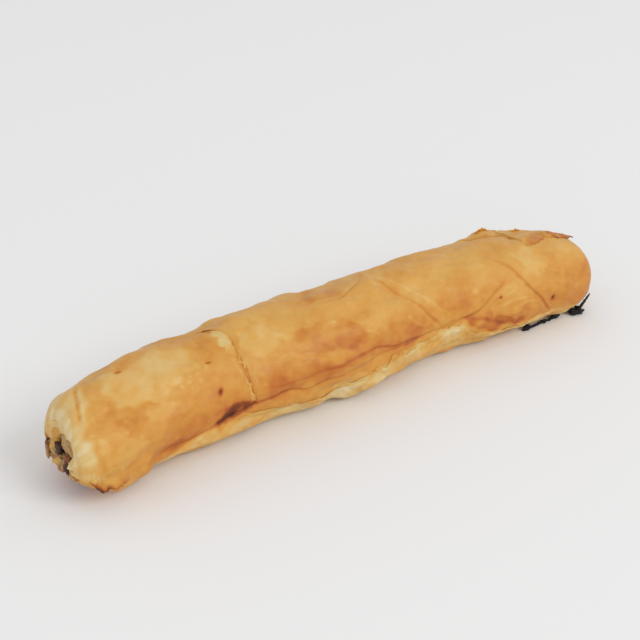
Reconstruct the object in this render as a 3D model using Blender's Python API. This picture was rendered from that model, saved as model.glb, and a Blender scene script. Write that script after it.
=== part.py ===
"""Beef borek: a baked roll of thin pastry round a beef filling, lying on its side.

The roll runs along X. Its open end, with the beef showing, points to -X, and +Z is up.
It rests on z = 0, and the origin is under the middle of its box. Sizes are in
millimetres and are scaled to metres as the meshes are made.
"""

import math

import bmesh
import bpy
import numpy as np

MM = 0.001
ORIGIN_X, ORIGIN_Y = 0.0, -1.05     # middle of the box, taken off every point

# The roll: distance along, half its width, and how far its middle line strays sideways.
STATIONS = np.array([
    (-125.0, 21.0, -10.5),
    (-88.0, 22.2, -2.0),
    (-47.0, 22.5, 2.0),
    (-4.0, 22.9, 0.0),
    (39.0, 21.5, 5.0),
    (82.0, 21.3, 3.6),
    (127.0, 19.5, 1.0),
])
TALL = 0.92                         # height over width
LOW = 0.48                          # height of the widest place over the height
FULL_TOP, FULL_LOW = 2.1, 2.5       # how square the upper and the lower half are
SINK = 0.7                          # the foot is pressed flat by this much
FOOT_SPREAD = 0.5                   # and turns up over this height

# Each end narrows over a length; the shares are what is left of each half size.
NEAR_END = {"start": -112.0, "stop": -125.0, "up": 0.62, "down": 0.42, "front": 0.64, "back": 0.72}
FAR_END = {"start": 110.0, "stop": 127.0, "up": 0.46, "down": 0.88, "front": 0.63, "back": 0.50}

N_AROUND = 60
N_LENGTH = 45
N_DOME = 5

# The lip and the pocket behind it: distance along, share of the rim, share of the way
# to the round mouth that the filling fills.
NEAR_FACE = ((-125.4, 0.95, 0.0), (-124.6, 0.89, 0.0), (-122.4, 0.86, 0.0), (-121.3, 0.80, 0.1),
             (-121.0, 0.62, 0.5))
FAR_FACE = ((127.5, 0.88, 0.0), (127.4, 0.72, 0.0), (126.0, 0.62, 0.1), (123.4, 0.56, 0.3))
NEAR_MOUTH = {"x": -120.6, "radius": 4.7, "side": 0.4, "up": 0.2}
FAR_MOUTH = {"x": 121.5, "radius": 4.0, "side": 0.3, "up": 0.0}

BORE_RADIUS = 13.0
BORE_STEPS = (-117.0, -110.0, -99.0, -80.0, -50.0, -18.0, 15.0, 48.0, 78.0, 98.0, 110.0, 117.5)
GAP = 0.35                          # between the filling and the pastry

# Edges of the sheets as they lie on the roll: distance along and turn from the top,
# in degrees, the front being at 90.
LAP = ((-50, -76), (-18, -61), (-13, -55), (3, -53.5), (42, -52), (82, -49.7), (107, -49.5), (140, -50))
SEAM = ((-116, 109), (-107, 102), (-92, 105), (-84, 98), (-75, 92), (-59, 93.5), (-49, 92.5), (-35, 98),
        (-18, 97), (1, 87.5), (18, 86), (41, 89.5), (55, 84.5), (74, 88), (100, 94), (112, 98))
SEAM_DEPTH = ((-116, 0.3), (-90, 0.6), (-70, 1.6), (-50, 1.5), (-30, 1.0), (18, 0.8), (60, 0.9), (112, 0.4))
FOLD_LEFT = ((-24, 27), (-18, 19), (-6, 9), (10, -2), (26, -12))
FOLD_RIGHT = ((10, 23.8), (28, 27), (58, 35), (84, 41))
FOLD_FAR = ((30, 68), (45, 75.4), (63, 83.4), (95, 96.4), (115, 104))
BACK_SEAM = 255.0
FLAKE_BED = 2.2                     # how far the roll is lower under its lifted sheet
OPEN_END = {"start": 128.0, "stop": 140.0, "up": 0.8, "down": 0.8, "front": 0.8, "back": 0.8}


def along(x, column):
    """Smooth curve through one column of the stations."""
    where, value = STATIONS[:, 0], STATIONS[:, column]
    x = np.clip(np.asarray(x, float), where[0], where[-1])
    slope = np.gradient(value, where)
    i = np.clip(np.searchsorted(where, x, side="right") - 1, 0, len(where) - 2)
    h = where[i + 1] - where[i]
    t = (x - where[i]) / h
    return ((2 * t**3 - 3 * t**2 + 1) * value[i] + (t**3 - 2 * t**2 + t) * h * slope[i]
            + (3 * t**2 - 2 * t**3) * value[i + 1] + (t**3 - t**2) * h * slope[i + 1])


def kept(x, end, side):
    """Share of a half size that is left where an end narrows."""
    t = np.clip((x - end["start"]) / (end["stop"] - end["start"]), 0, 1)
    round_off = 1 - np.sqrt(1 - t**2)
    slant = {"down": 0.9, "front": 0.35}.get(side, 0.0) if end is NEAR_END else 0.0
    return 1 - (1 - end[side]) * (slant * t + (1 - slant) * round_off)


def middle(x):
    """Height of the widest place of the section."""
    return 2 * along(x, 1) * TALL * LOW


def smooth_step(v):
    v = np.clip(v, 0, 1)
    return v * v * (3 - 2 * v)


def read(route, v):
    route = np.array(route, float)
    return np.interp(v, route[:, 0], route[:, 1])


def relief(x, turn):
    """How far the skin stands out at a place: laps, creases and waves of the sheets."""
    around = (turn + 120) % 360 - 120
    out = 0.35 * np.sin(x / 13 + 0.8 * np.sin(np.radians(turn) * 2)) * np.cos(np.radians(turn - 40))
    out += 0.3 * np.sin(x / 21 + 2.0) * np.sin(np.radians(turn) * 3 + x / 30)

    # The right hand sheet laps over the left one, with its edge standing a little.
    past = x - read(LAP, around)
    showing = smooth_step((around + 75) / 45) * smooth_step((170 - around) / 40)
    out += showing * 0.9 * smooth_step((past + 1.2) / 2.4) * np.exp(-np.maximum(past, 0) / 35)

    # The long seam along the front: the upper sheet ends in a crease over a pale lower one.
    down = (around - read(SEAM, x)) * 0.37
    depth = read(SEAM_DEPTH, x)
    out -= depth * np.exp(-(down / 1.5) ** 2)
    out += 0.5 * depth * np.exp(-((down + 4.5) / 3.0) ** 2)
    out += 0.35 * depth * np.exp(-((down - 4.0) / 2.5) ** 2)

    # The outer sheet stops short under the near end, so the pale band steps in there,
    # and further along the band bulges.
    low = smooth_step((around - 92) / 14) * smooth_step((175 - around) / 35)
    out -= 1.9 * low * smooth_step((x + 98) / 3) * np.exp(-np.maximum(x + 95, 0) / 20)
    out -= 1.2 * low * np.exp(-((x + 13) / 7) ** 2)
    out += 1.0 * np.exp(-((x - 6) / 10) ** 2) * np.exp(-((around - 122) / 16) ** 2)

    # The top line dips before the lap and under the lifted sheet of the far end.
    top = np.exp(-((around + 30) / 38) ** 2)
    out += top * (1.1 * np.exp(-((x + 14) / 8) ** 2) - 1.9 * np.exp(-((x + 63) / 9) ** 2)
                  - FLAKE_BED * smooth_step((x - 78) / 20))

    # Two slanting folds in the middle and one near the far end.
    near_edge = x - read(FOLD_LEFT, around)
    far_edge = read(FOLD_RIGHT, around) - x
    flap = smooth_step((near_edge + 1) / 3) * smooth_step((far_edge + 1) / 3)
    out += 0.7 * flap * smooth_step((92 - around) / 25) * smooth_step((around + 25) / 20)
    past = x - read(FOLD_FAR, around)
    out += (0.7 * smooth_step((past + 1) / 3) * np.exp(-np.maximum(past, 0) / 22)
            * smooth_step((around - 25) / 20) * smooth_step((125 - around) / 15))

    # The seam down the back is like the front one, without the browned crease.
    down = ((turn % 360) - BACK_SEAM - 6 * np.sin(x / 37)) * 0.37
    out -= 0.9 * np.exp(-(down / 1.8) ** 2)
    out += 0.4 * np.exp(-((down - 4.5) / 3.0) ** 2)
    return out


def skin(x, turn, lift=0.0, far=FAR_END):
    """A point of the outer skin, or one lifted off it."""
    x, turn = np.broadcast_arrays(np.asarray(x, float), np.asarray(turn, float))
    a = np.radians(turn)
    c, s = np.cos(a), np.sin(a)
    half, height = along(x, 1), 2 * along(x, 1) * TALL
    top = c >= 0
    power = 2 / np.where(top, FULL_TOP, FULL_LOW)
    up = np.where(top, height * (1 - LOW) * kept(x, NEAR_END, "up") * kept(x, far, "up"),
                  height * LOW * kept(x, NEAR_END, "down") * kept(x, far, "down"))
    wide = np.where(s >= 0, half * kept(x, NEAR_END, "front") * kept(x, far, "front"),
                    half * kept(x, NEAR_END, "back") * kept(x, far, "back"))
    y = -wide * np.sign(s) * np.abs(s) ** power
    z = up * np.sign(c) * np.abs(c) ** power
    reach = np.maximum(np.hypot(y, z), 1e-6)
    grow = 1 + (relief(x, turn) + lift) / reach
    z = middle(x) + z * grow
    pressed = z - SINK
    turned_up = np.clip(pressed + FOOT_SPREAD, 0, 2 * FOOT_SPREAD) ** 2 / (4 * FOOT_SPREAD)
    z = np.where(pressed > FOOT_SPREAD, pressed, turned_up)
    z = np.where(z < 0.02, 0.0, z)
    return np.stack([x, along(x, 2) + y * grow, z], -1)


def turns():
    """Places around the roll, closer together along the front seam."""
    weight = 1 + 0.7 * np.exp(-((np.arange(360) - 95) / 30.0) ** 2)
    total = np.concatenate([[0], np.cumsum(weight)])
    return np.interp(np.arange(N_AROUND) / N_AROUND * total[-1], total, np.arange(361))


def rim_wave(turn, size):
    a = np.radians(turn)
    return size * (np.sin(3 * a + 0.5) + 0.6 * np.sin(5 * a + 2.1))


def mouth_ring(x, turn, radius, side, up, wave=0.05):
    """A ring of the bore, on the middle line or off it."""
    a = np.radians(turn)
    r = radius * (1 + rim_wave(turn, wave * 0.6))
    return np.stack([np.full_like(turn, x), along(x, 2) + side - r * np.sin(a),
                     middle(x) - SINK + up + r * np.cos(a)], -1)


def bore_rows(turn, inset):
    """Rings of the hollow from the near mouth to the far one, drawn in by an inset."""
    places = (NEAR_MOUTH["x"],) + BORE_STEPS + (FAR_MOUTH["x"],)
    rows = []
    for x in places:
        near = smooth_step((x - NEAR_MOUTH["x"]) / 24)
        far = smooth_step((FAR_MOUTH["x"] - x) / 26)
        radius = (NEAR_MOUTH["radius"] + (BORE_RADIUS - NEAR_MOUTH["radius"]) * near
                  - (BORE_RADIUS - FAR_MOUTH["radius"]) * (1 - far))
        side = NEAR_MOUTH["side"] * (1 - near) + FAR_MOUTH["side"] * (1 - far)
        up = NEAR_MOUTH["up"] * (1 - near) + FAR_MOUTH["up"] * (1 - far)
        rows.append(mouth_ring(x, turn, radius - inset, side, up))
    return rows


def face_rows(rim, end_faces, mouth, turn):
    """Rings from the rim over the lip and down the pocket to the mouth."""
    x = rim[:, 0].mean()
    centre = np.array([0.0, along(x, 2), middle(x) - SINK])
    rows = []
    for place, share, to_mouth in end_faces:
        row = centre + (rim - centre) * share
        row[:, 0] = place + rim_wave(turn, 0.18)
        ring = mouth_ring(place, turn, mouth["radius"] * 1.15, mouth["side"], mouth["up"])
        ring[:, 0] = row[:, 0]
        rows.append(row * (1 - to_mouth) + ring * to_mouth)
    return rows


def solid(name, points, faces):
    """One closed mesh object with its normals outwards."""
    mesh = bpy.data.meshes.new(name)
    moved = (np.asarray(points, float) - [ORIGIN_X, ORIGIN_Y, 0.0]) * MM
    mesh.from_pydata([tuple(p) for p in moved], [], faces)
    bm = bmesh.new()
    bm.from_mesh(mesh)
    bmesh.ops.triangulate(bm, faces=bm.faces)
    bmesh.ops.recalc_face_normals(bm, faces=bm.faces)
    if bm.calc_volume(signed=True) < 0:
        bmesh.ops.reverse_faces(bm, faces=bm.faces)
    bm.to_mesh(mesh)
    bm.free()
    item = bpy.data.objects.new(name, mesh)
    bpy.context.scene.collection.objects.link(item)
    return item


def band_faces(rows, around, closed):
    """Faces between rings; a closed set joins its last ring to the first."""
    faces = []
    for i in range(rows if closed else rows - 1):
        j = (i + 1) % rows
        for k in range(around):
            m = (k + 1) % around
            faces.append((i * around + k, i * around + m, j * around + m, j * around + k))
    return faces


def make_pastry():
    turn = turns()
    dome = np.sin(np.linspace(0, math.pi / 2, N_DOME + 1))[1:]
    near = NEAR_END["start"] + (NEAR_END["stop"] - NEAR_END["start"]) * dome[::-1]
    far = FAR_END["start"] + (FAR_END["stop"] - FAR_END["start"]) * dome
    body = np.linspace(NEAR_END["start"], FAR_END["start"], N_LENGTH)
    rows = [skin(x, turn) for x in np.concatenate([near, body, far])]
    rows[0][:, 0] += rim_wave(turn, 0.2)
    rows += face_rows(rows[-1], FAR_FACE, FAR_MOUTH, turn)
    bore = bore_rows(turn, 0.0)
    rows += bore[::-1]
    rows += face_rows(rows[0], NEAR_FACE, NEAR_MOUTH, turn)[::-1]
    return solid("pastry", np.concatenate(rows), band_faces(len(rows), N_AROUND, True))


def sheet(name, places, inner, outer, far=FAR_END):
    """A thin sheet over the skin: a grid of places, each with its lift below and above."""
    count_u, count_v = places.shape[:2]
    low = skin(places[..., 0], places[..., 1], inner, far)
    high = skin(places[..., 0], places[..., 1], outer, far)
    points = np.concatenate([low.reshape(-1, 3), high.reshape(-1, 3)])
    upper = count_u * count_v
    faces = []
    for i in range(count_u - 1):
        for j in range(count_v - 1):
            a, b = i * count_v + j, (i + 1) * count_v + j
            faces.append((a, a + 1, b + 1, b))
            faces.append((a + upper, b + upper, b + upper + 1, a + upper + 1))
    edge = ([i * count_v for i in range(count_u)]
            + [(count_u - 1) * count_v + j for j in range(1, count_v)]
            + [i * count_v + count_v - 1 for i in range(count_u - 2, -1, -1)]
            + [j for j in range(count_v - 2, 0, -1)])
    for a, b in zip(edge, edge[1:] + edge[:1]):
        faces.append((a, b, b + upper, a + upper))
    return solid(name, points, faces)


def make_top_flake():
    """The torn sheet that has lifted along the top near the far end."""
    back = ((70, -62), (80, -74), (95, -74), (110, -66), (127, -30))
    front = ((70, -46), (75, -34), (80, -27), (88, -12), (93, 12), (96, 24), (98, 10), (103, -8), (106, -2),
             (112, 6), (118, 4), (127, -10))
    u = np.linspace(70, 126.5, 26)
    v = np.linspace(0, 1, 7)
    turn = read(back, u)[:, None] * (1 - v) + read(front, u)[:, None] * v
    places = np.stack([np.broadcast_to(u[:, None], turn.shape), turn], -1)
    high = read(((70, 0.4), (76, 5.0), (84, 5.6), (92, 4.4), (104, 3.2), (116, 2.4), (122, 1.8), (127, 1.6)), u)
    tall = high[:, None] * smooth_step(v * 1.3) * (1 - 0.35 * v) + 0.2 * np.sin(u / 3.1)[:, None] * v
    tall = np.maximum(tall, 0.25)
    root = np.where((v < 0.35) & (u[:, None] < 114), -1.2, tall - 1.0)
    return sheet("top_flake", places, root, tall, OPEN_END)


def make_torn_tip():
    """The corner of the outer sheet that hangs torn under the near end."""
    u = np.linspace(-117.8, -111.2, 6)
    v = np.linspace(0, 1, 6)
    low = 128 - 9 * np.abs(u + 115.0) / 3.5
    turn = 92 * (1 - v) + low[:, None] * v
    places = np.stack([np.broadcast_to(u[:, None], turn.shape), turn], -1)
    lift = np.broadcast_to(0.3 + 0.5 * smooth_step(v * 1.2), turn.shape)
    return sheet("torn_tip", places, lift - 1.9, lift)


def lump(name, centre, size, seed, bumps=0.22, detail=2):
    """A rough rounded lump."""
    rng = np.random.default_rng(seed)
    waves = [(rng.normal(size=3) * 2.4, rng.uniform(0, 6.3)) for _ in range(5)]
    bm = bmesh.new()
    bmesh.ops.create_icosphere(bm, subdivisions=detail, radius=1.0)
    bm.verts.ensure_lookup_table()
    points = np.array([v.co[:] for v in bm.verts])
    faces = [tuple(v.index for v in f.verts) for f in bm.faces]
    bm.free()
    swell = 1 + bumps * sum(np.sin(points @ k + p) for k, p in waves) / 2
    return solid(name, np.array(centre) + points * swell[:, None] * np.array(size), faces)


def unite(target, pieces):
    """Join pieces to a target with one Boolean union, and drop them."""
    group = bpy.data.collections.new(target.name + "_joined")
    bpy.context.scene.collection.children.link(group)
    for piece in pieces:
        bpy.context.scene.collection.objects.unlink(piece)
        group.objects.link(piece)
    join = target.modifiers.new("join", "BOOLEAN")
    join.operation = "UNION"
    join.operand_type = "COLLECTION"
    join.collection = group
    join.solver = "MANIFOLD"
    ready = target.evaluated_get(bpy.context.evaluated_depsgraph_get())
    mesh = bpy.data.meshes.new_from_object(ready)
    target.modifiers.clear()
    old = target.data
    target.data = mesh
    bpy.data.meshes.remove(old)
    for piece in pieces:
        bpy.data.objects.remove(piece)
    bpy.data.collections.remove(group)
    clean(target)


def clean(item):
    """Keep the largest shell, weld slivers and split faces into triangles."""
    bm = bmesh.new()
    bm.from_mesh(item.data)
    bmesh.ops.remove_doubles(bm, verts=bm.verts, dist=0.02 * MM)
    bmesh.ops.dissolve_degenerate(bm, edges=bm.edges, dist=0.01 * MM)
    bmesh.ops.triangulate(bm, faces=bm.faces)
    left, shells = set(bm.verts), []
    while left:
        stack = [left.pop()]
        shell = set(stack)
        while stack:
            for edge in stack.pop().link_edges:
                for vert in edge.verts:
                    if vert in left:
                        left.remove(vert)
                        shell.add(vert)
                        stack.append(vert)
        shells.append(shell)
    shells.sort(key=len, reverse=True)
    for shell in shells[1:]:
        bmesh.ops.delete(bm, geom=list(shell), context="VERTS")
    bmesh.ops.recalc_face_normals(bm, faces=bm.faces)
    bm.to_mesh(item.data)
    bm.free()


def make_filling():
    """The beef: a core through the roll, and the lumps that show at the near mouth."""
    turn = np.arange(24) * 15.0
    rows = bore_rows(turn, GAP + 0.25)
    near, far = rows[0].copy(), rows[-1].copy()
    near[:, 0] = NEAR_MOUTH["x"] - 1.2
    far[:, 0] = FAR_MOUTH["x"] + 1.0
    near_tip = near.mean(axis=0) + [-1.0, 0, 0]
    far_tip = far.mean(axis=0) + [0.8, 0, 0]
    near_top = near_tip + (near - near_tip) * [1.0, 0.55, 0.55]
    near_top[:, 0] = near_tip[0] + 0.2
    far_top = far_tip + (far - far_tip) * [1.0, 0.55, 0.55]
    far_top[:, 0] = far_tip[0] - 0.2
    rows = [near_top, near] + rows[1:-1] + [far, far_top]
    points = np.concatenate(rows + [[near_tip], [far_tip]])
    faces = band_faces(len(rows), len(turn), False)
    last = len(rows) * len(turn)
    start = last - len(turn)
    for k in range(len(turn)):
        m = (k + 1) % len(turn)
        faces.append((last, m, k))
        faces.append((last + 1, start + k, start + m))
    core = solid("beef_filling", points, faces)
    y, z = float(along(-125, 2)), float(middle(-125) - SINK)
    bits = (
        ((-123.4, y + 4.6, z - 0.4), (2.0, 2.4, 2.4), 3),
        ((-123.2, y + 0.8, z + 0.2), (1.8, 2.4, 2.0), 5),
        ((-124.0, y - 1.4, z - 2.0), (1.9, 1.9, 2.4), 8),
        ((-125.4, y - 1.9, z - 4.6), (1.6, 1.4, 2.0), 13),
        ((-126.7, y - 1.9, z - 6.4), (0.9, 1.2, 1.6), 2),
        ((-127.1, y - 1.8, z - 7.8), (0.8, 1.1, 1.7), 34),
        ((-123.8, y + 1.7, z - 2.5), (1.6, 2.2, 1.5), 12),
    )
    lumps = [lump(f"bit_{i}", place, size, seed) for i, (place, size, seed) in enumerate(bits)]
    lumps.append(lump("far_bit", (FAR_MOUTH["x"] + 2.2, float(along(127, 2)) - 0.4,
                                  float(middle(127) - SINK) + 0.2), (1.5, 1.7, 1.5), 55))
    unite(core, lumps)
    return core


def under(points, clear):
    """Keep points off the floor plane's far side and clear of the roll above them."""
    x, y = points[:, 0], points[:, 1]
    turn = np.linspace(95, 180, 120)
    grid = skin(np.linspace(80, 127, 95)[:, None], turn[None, :])
    for i in range(len(points)):
        row = grid[int(np.clip(round((x[i] - 80) / 0.5), 0, 94))]
        roof = np.interp(y[i], row[:, 1], row[:, 2], left=99.0)
        points[i, 2] = max(0.0, min(points[i, 2], roof - clear))
    return points


def make_crust():
    """Burnt juice that ran out and charred under the front of the far end."""
    x = np.linspace(87.5, 112.5, 14)
    a = np.linspace(0, 2 * math.pi, 10, endpoint=False)
    out = 1.0 + 0.25 * np.sin(x * 1.1) + 0.2 * np.sin(x * 2.3 + 1)
    ends = np.sqrt(np.clip(1 - ((x - 100) / 13.2) ** 4, 0.02, 1))
    y = -10.9 - 0.6 * np.sin((x - 88) / 5.0)
    rows = []
    for i in range(len(x)):
        row = np.stack([np.full_like(a, x[i]), y[i] - 1.6 * ends[i] * out[i] * np.cos(a),
                        1.25 + 1.45 * ends[i] * np.sin(a)], -1)
        rows.append(under(row, 0.6))
    points = np.concatenate(rows + [[rows[0].mean(axis=0)], [rows[-1].mean(axis=0)]])
    faces = band_faces(len(rows), len(a), False)
    last = len(rows) * len(a)
    for k in range(len(a)):
        m = (k + 1) % len(a)
        faces.append((last, m, k))
        faces.append((last + 1, last - len(a) + k, last - len(a) + m))
    return solid("burnt_crust", points, faces)


def make_crust_flake():
    """A thicker burnt scrap at the corner, with a thin blade curling up the roll's end."""
    scrap = lump("burnt_flake", (119.3, -12.2, 1.3), (4.6, 2.9, 1.5), 55, bumps=0.3)
    moved = np.array([ORIGIN_X, ORIGIN_Y, 0.0])
    points = np.array([v.co[:] for v in scrap.data.vertices]) / MM + moved
    for vert, point in zip(scrap.data.vertices, under(points, 0.6)):
        vert.co = (point - moved) * MM
    spine = np.array([(121.0, -12.4, 1.0), (122.0, -13.4, 3.4), (123.2, -14.5, 6.4), (124.8, -15.0, 9.4)])
    widths = (1.7, 1.3, 0.9, 0.25)
    rows = []
    for centre, wide in zip(spine, widths):
        a = np.linspace(0, 2 * math.pi, 6, endpoint=False)
        rows.append(centre + np.stack([wide * np.cos(a), 0.45 * np.sin(a) - 0.3 * np.cos(a), 0.5 * wide * np.cos(a)], -1))
    faces = band_faces(len(rows), 6, False) + [(5, 4, 3, 2, 1, 0), tuple(range(18, 24))]
    unite(scrap, [solid("blade", np.concatenate(rows), faces)])
    return scrap


def paint(item, colour, roughness):
    material = bpy.data.materials.new(item.name)
    material.use_nodes = True
    shader = material.node_tree.nodes["Principled BSDF"]
    shader.inputs["Base Color"].default_value = (*colour, 1.0)
    shader.inputs["Roughness"].default_value = roughness
    item.data.materials.clear()
    item.data.materials.append(material)
    for face in item.data.polygons:
        face.use_smooth = True


for stale in list(bpy.data.objects):
    bpy.data.objects.remove(stale)

pastry = make_pastry()
rim_leaf = lump("rim_leaf", (-125.2, float(along(-125, 2)) + 13.0, float(middle(-125) - SINK) - 4.2),
                (1.3, 1.2, 3.4), 4, detail=1)
unite(pastry, [make_top_flake(), make_torn_tip(), rim_leaf])
paint(pastry, (0.64, 0.36, 0.11), 0.55)

filling = make_filling()
paint(filling, (0.10, 0.035, 0.015), 0.6)

for burnt in (make_crust(), make_crust_flake()):
    paint(burnt, (0.012, 0.010, 0.010), 0.7)
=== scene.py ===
import math

import bmesh
import bpy
import numpy as np
from mathutils import Matrix, Vector


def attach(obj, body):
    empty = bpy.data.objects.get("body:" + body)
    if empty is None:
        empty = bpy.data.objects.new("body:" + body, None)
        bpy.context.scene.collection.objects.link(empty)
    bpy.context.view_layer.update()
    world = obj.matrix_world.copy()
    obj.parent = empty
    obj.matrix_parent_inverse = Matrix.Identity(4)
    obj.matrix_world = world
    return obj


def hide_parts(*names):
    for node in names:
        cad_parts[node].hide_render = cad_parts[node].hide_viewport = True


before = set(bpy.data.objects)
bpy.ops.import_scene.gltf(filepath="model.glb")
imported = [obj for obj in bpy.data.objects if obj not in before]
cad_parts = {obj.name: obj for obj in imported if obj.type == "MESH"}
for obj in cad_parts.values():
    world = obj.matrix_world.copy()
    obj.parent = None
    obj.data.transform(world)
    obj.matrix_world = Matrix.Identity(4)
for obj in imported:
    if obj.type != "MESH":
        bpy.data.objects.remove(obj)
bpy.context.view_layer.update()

# The roll: one long sheet of thin dough brushed with oil, wound round the beef from the
# far side and baked lying on its seam. Its ends are tucked in, the near one loosely, so
# the beef shows there, and the far one is pinched nearly shut.
MM = 0.001
MIDDLE = np.array([0.0, -1.05, 0.0])
PER_DEGREE = 0.375                  # millimetres along the skin for one degree of turn
STATIONS = np.array([               # distance along, half width, how far it bends to the back
    (-125.0, 21.0, -10.5),
    (-88.0, 22.2, -2.0),
    (-47.0, 22.5, 2.0),
    (-4.0, 22.9, 0.0),
    (39.0, 21.5, 5.0),
    (82.0, 21.3, 3.6),
    (127.0, 19.5, 1.0),
])
TALL, LOW = 0.92, 0.48              # height over width, and the share of the height below the middle
FULL_TOP, FULL_LOW = 2.1, 2.5       # how full the section is: 2 is round, more is squarer
SINK, FOOT_SPREAD = 0.7, 0.5        # how far the roll sags on to the table
NEAR_END = {"start": -112.0, "stop": -125.0, "up": 0.62, "down": 0.42, "front": 0.64, "back": 0.72}
FAR_END = {"start": 110.0, "stop": 127.0, "up": 0.46, "down": 0.88, "front": 0.63, "back": 0.5}
OPEN_END = {"start": 128.0, "stop": 140.0, "up": 0.8, "down": 0.8, "front": 0.8, "back": 0.8}
FAR_FACE = ((127.0, 1.0, 0.0), (127.5, 0.88, 0.0), (127.4, 0.72, 0.0), (126.0, 0.62, 0.1),
            (123.4, 0.56, 0.3), (121.5, 0.5, 1.0))
NEAR_MOUTH = {"x": -120.6, "radius": 4.7, "side": 0.4, "up": 0.2}
FAR_MOUTH = {"x": 121.5, "radius": 4.0, "side": 0.3, "up": 0.0}
BORE_RADIUS = 13.0                  # the hollow that the beef fills
BORE_STEPS = (-117.0, -110.0, -99.0, -80.0, -50.0, -18.0, 15.0, 48.0, 78.0, 98.0, 110.0, 117.5)

# Edges and creases of the sheets, as places on the skin: distance along, turn from the top.
LAP = (
    (-66, -30), (-62, -18), (-58.5, -9), (-56.4, -3), (-53.9, 4.5), (-52.4, 13), (-51.9, 22), (-51.7, 33.5),
    (-51.2, 46), (-50.7, 57), (-50.5, 68.5), (-50.2, 79.5), (-49.2, 91.5), (-49, 97),
)
SEAM = (
    (-116, 111), (-107, 107), (-92, 109), (-84, 107.5), (-76, 105), (-67.6, 101), (-60.2, 96.8),
    (-54.2, 94.2), (-48.7, 92), (-42.7, 91), (-36, 91.5), (-28, 92.5), (-18, 92.5), (-8, 91), (1, 88.5),
    (12, 87), (18, 86.5), (30, 88), (41, 89.5), (48, 87.5), (55, 86), (66, 87.5), (74, 88), (100, 94),
    (112, 98),
)
SECOND_SEAM = (
    (-49.7, 77), (-46, 79), (-42, 81.5), (-37.5, 83), (-31.8, 83.5), (-27, 83.5), (-22, 81), (-12.3, 81),
    (-5.4, 77.5), (5.6, 76.5), (10, 79.5), (14.3, 83.5), (24, 85), (32.8, 87.5),
)
LOW_SEAM = ((59.7, 88.5), (63.7, 91.5), (68.1, 97), (72.6, 102), (79.1, 106), (85.6, 111), (93, 109.5))
BAND_TOP = (
    (-100, 130), (-86, 114), (-73, 101), (-60, 100), (-48, 100.5), (-37, 109), (-24, 117), (-11, 114.5),
    (1, 103), (8, 96.5), (18, 92.5), (29, 91), (45, 89), (54, 89), (58, 98), (66, 107), (75, 111), (88, 112),
    (98, 108), (112, 112), (126, 114),
)
FOLD_LEFT = ((-12, 10), (-4, 13), (0, 13.5), (7, 6), (13, 0.5), (17, -9), (25, -15), (34, -24))
FOLD_RIGHT = (
    (17, 4), (20.8, 10), (22.8, 21.5), (25.3, 31), (28, 40.5), (32, 51), (36.5, 68.5), (42.5, 87),
)
FOLD_FAR = ((74, 24), (77.9, 32.5), (81.1, 43), (84.1, 56), (89, 74.5), (96.3, 95), (101, 113))
FOLD_DOWN = ((76, 56), (71, 65.5), (66.4, 71.5), (60.4, 82), (53, 87))
FOLD_BAR = ((86.1, 89), (81.1, 92.5), (75.5, 95.5))

# Along the front seam: how deep it is, how much browner beside it and in its dark line, and
# half the width of that line.
SEAM_DEPTH = (
    (-116, 0.2), (-90, 0.3), (-76, 0.5), (-67, 0.9), (-52, 0.9), (-46, 0.5), (-30, 0.45), (0, 0.35),
    (18, 0.6), (52, 0.6), (66, 0.15), (112, 0.15),
)
SEAM_GLOW = (
    (-118, 0.0), (-96, 0.03), (-80, 0.05), (-62, 0.06), (-45, 0.03), (-20, 0.03), (20, 0.05), (42, 0.05),
    (60, 0.04), (100, 0.05), (120, 0.05),
)
SEAM_DARK = (
    (-118, 0.0), (-90, 0.04), (-84, 0.08), (-73, 0.1), (-67, 0.14), (-50, 0.18), (-46, 0.22), (-36, 0.18),
    (-15, 0.11), (0, 0.05), (14, 0.07), (22, 0.12), (32, 0.1), (52, 0.07), (60, 0.04), (70, 0.0),
    (100, 0.02), (118, 0.0),
)
SEAM_LINE = ((-80, 1.2), (-70, 1.2), (-52, 0.7), (-47, 0.4), (110, 0.4))
BACK_SEAM = 255.0                   # turn of the seam down the back

# How far the sheet of the far half stands over the near one. Dips of the top line: place,
# width, height. Facets of the skin: size, seed, length, height.
LAP_STEP = 0.55
TOP_DIPS = ((-14, 8, 1.1), (-63, 9, -1.8), (-53, 5.5, -1.5), (-37, 5, 0.6))
FACETS = ((27, 71, 1.9, 0.65), (24, 72, 1.2, -0.48), (14, 73, 1.5, 0.32), (8, 74, 1.2, -0.13))


def ease(v):
    """Nought to one, easing out of the one and in to the other."""
    v = np.clip(v, 0, 1)
    return v * v * (3 - 2 * v)


def hump(v, at, width):
    """One at a place, falling smoothly to nothing over a width."""
    return np.exp(-((v - at) / width) ** 2)


def lap_line(turn):
    """How far along the roll the edge of the lap is, at a turn."""
    return np.interp(turn, [p[1] for p in LAP], [p[0] for p in LAP])


def along(x, column):
    """Smooth curve through one column of the stations."""
    where, value = STATIONS[:, 0], STATIONS[:, column]
    x = np.clip(np.asarray(x, float), where[0], where[-1])
    slope = np.gradient(value, where)
    i = np.clip(np.searchsorted(where, x, side="right") - 1, 0, len(where) - 2)
    h = where[i + 1] - where[i]
    t = (x - where[i]) / h
    return ((2 * t**3 - 3 * t**2 + 1) * value[i] + (t**3 - 2 * t**2 + t) * h * slope[i]
            + (3 * t**2 - 2 * t**3) * value[i + 1] + (t**3 - t**2) * h * slope[i + 1])


def kept(x, end, side):
    """Share of a half size that is left where an end narrows."""
    t = np.clip((x - end["start"]) / (end["stop"] - end["start"]), 0, 1)
    slant = {"down": 0.9, "front": 0.35}.get(side, 0.0) if end is NEAR_END else 0.0
    return 1 - (1 - end[side]) * (slant * t + (1 - slant) * (1 - np.sqrt(1 - t**2)))


def middle(x):
    """Height of the roll's middle before it sags."""
    return 2 * along(x, 1) * TALL * LOW


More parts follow.
